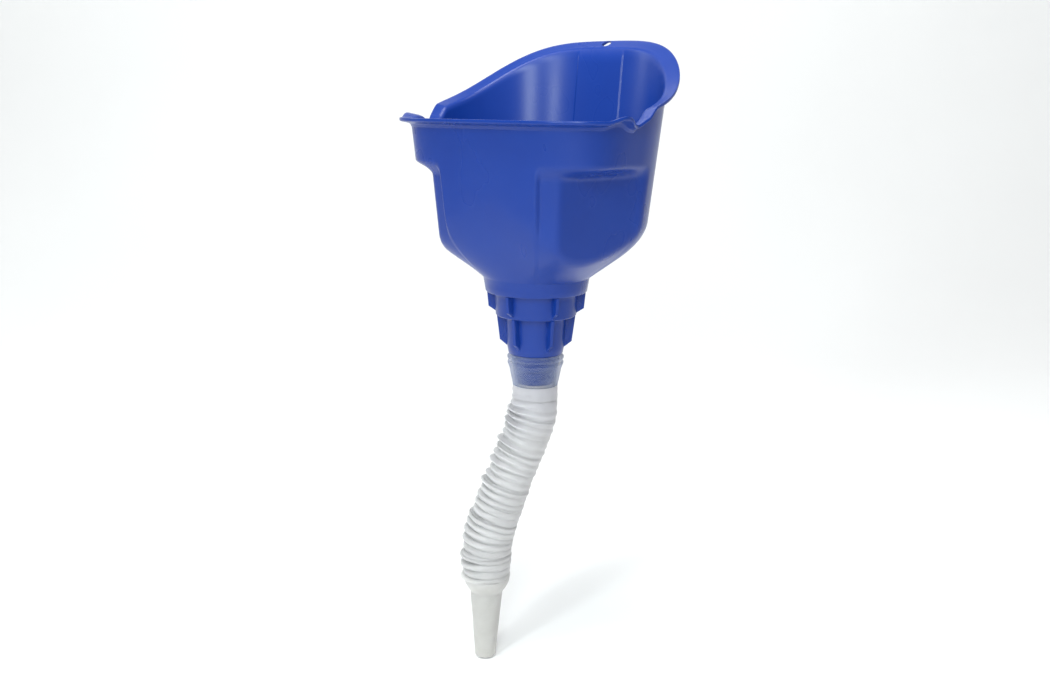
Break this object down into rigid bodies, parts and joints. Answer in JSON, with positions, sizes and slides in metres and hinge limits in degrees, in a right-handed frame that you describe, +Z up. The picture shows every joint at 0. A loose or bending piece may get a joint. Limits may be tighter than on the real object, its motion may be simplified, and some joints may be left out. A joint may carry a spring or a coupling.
{
  "type": "funnel",
  "caption": "Hand-held plastic funnel with a splash-back hopper, moulded hand grips, a stepped finned neck and a milky flexible bellows spout with a tapered nozzle.",
  "frame": {"origin": "on the neck's axis, at the shoulder where the spout's collar butts against the neck", "axes": "+Z up along the neck's axis; -Y towards the low pouring lip; +Y towards the high splash back with the hanging hole"},
  "size_m": [0.167, 0.1468, 0.4147],
  "materials": {
    "blue_polythene": "satin moulded polythene",
    "milky_polythene": "translucent natural polythene",
    "white_polypropylene": "satin moulded polypropylene",
    "woven_brass": "fine woven gauze"
  },
  "bodies": {
    "funnel": {"funnel_body": "blue_polythene"},
    "strainer": {"strainer_frame": "white_polypropylene", "strainer_gauze": "woven_brass"},
    "collar": {"spout_collar": "milky_polythene"},
    "ring_01": {"bellows_ring_01": "milky_polythene"},
    "ring_02": {"bellows_ring_02": "milky_polythene"},
    "ring_03": {"bellows_ring_03": "milky_polythene"},
    "ring_04": {"bellows_ring_04": "milky_polythene"},
    "ring_05": {"bellows_ring_05": "milky_polythene"},
    "ring_06": {"bellows_ring_06": "milky_polythene"},
    "ring_07": {"bellows_ring_07": "milky_polythene"},
    "ring_08": {"bellows_ring_08": "milky_polythene"},
    "ring_09": {"bellows_ring_09": "milky_polythene"},
    "ring_10": {"bellows_ring_10": "milky_polythene"},
    "nozzle": {"spout_nozzle": "milky_polythene"}
  },
  "joints": [
    {"name": "strainer_lift", "type": "slide", "parent": "funnel", "child": "strainer", "axis": [0, 0, 1], "range_m": [0, 0.12]},
    {"name": "spout_pull_off", "type": "slide", "parent": "funnel", "child": "collar", "axis": [0, 0, -1], "range_m": [0, 0.025]},
    {"name": "spout_swivel", "type": "hinge", "parent": "collar", "child": "ring_01", "pos_m": [0, 0, -0.024], "axis": [0, 0, 1], "continuous": true},
    {"name": "spout_bend_01", "type": "hinge", "parent": "ring_01", "child": "ring_02", "pos_m": [0, 0, -0.0367], "axis": [-0.6, 0.8, 0], "range_deg": [-27, 1]},
    {"name": "spout_bend_02", "type": "hinge", "parent": "ring_02", "child": "ring_03", "pos_m": [-0.00229, -0.00171, -0.04907], "axis": [-0.6, 0.8, 0], "range_deg": [-21, 7]},
    {"name": "spout_bend_03", "type": "hinge", "parent": "ring_03", "child": "ring_04", "pos_m": [-0.00576, -0.00432, -0.06101], "axis": [-0.7518, -0.5638, 0.342], "range_deg": [-14, 14]},
    {"name": "spout_bend_04", "type": "hinge", "parent": "ring_04", "child": "ring_05", "pos_m": [-0.00924, -0.00693, -0.07294], "axis": [-0.7518, -0.5638, 0.342], "range_deg": [-14, 14]},
    {"name": "spout_bend_05", "type": "hinge", "parent": "ring_05", "child": "ring_06", "pos_m": [-0.01271, -0.00953, -0.08488], "axis": [-0.6, 0.8, 0], "range_deg": [-13, 15]},
    {"name": "spout_bend_06", "type": "hinge", "parent": "ring_06", "child": "ring_07", "pos_m": [-0.01602, -0.01201, -0.09688], "axis": [-0.7564, -0.5673, 0.3256], "range_deg": [-14, 14]},
    {"name": "spout_bend_07", "type": "hinge", "parent": "ring_07", "child": "ring_08", "pos_m": [-0.01933, -0.01449, -0.10889], "axis": [-0.7564, -0.5673, 0.3256], "range_deg": [-14, 14]},
    {"name": "spout_bend_08", "type": "hinge", "parent": "ring_08", "child": "ring_09", "pos_m": [-0.02263, -0.01698, -0.1209], "axis": [-0.6, 0.8, 0], "range_deg": [-8, 20]},
    {"name": "spout_bend_09", "type": "hinge", "parent": "ring_09", "child": "ring_10", "pos_m": [-0.02492, -0.01869, -0.13328], "axis": [-0.6, 0.8, 0], "range_deg": [-2, 26]},
    {"name": "spout_bend_10", "type": "hinge", "parent": "ring_10", "child": "nozzle", "pos_m": [-0.0251, -0.01882, -0.14597], "axis": [-0.7999, -0.5999, 0.0175], "range_deg": [-14, 14]}
  ]
}
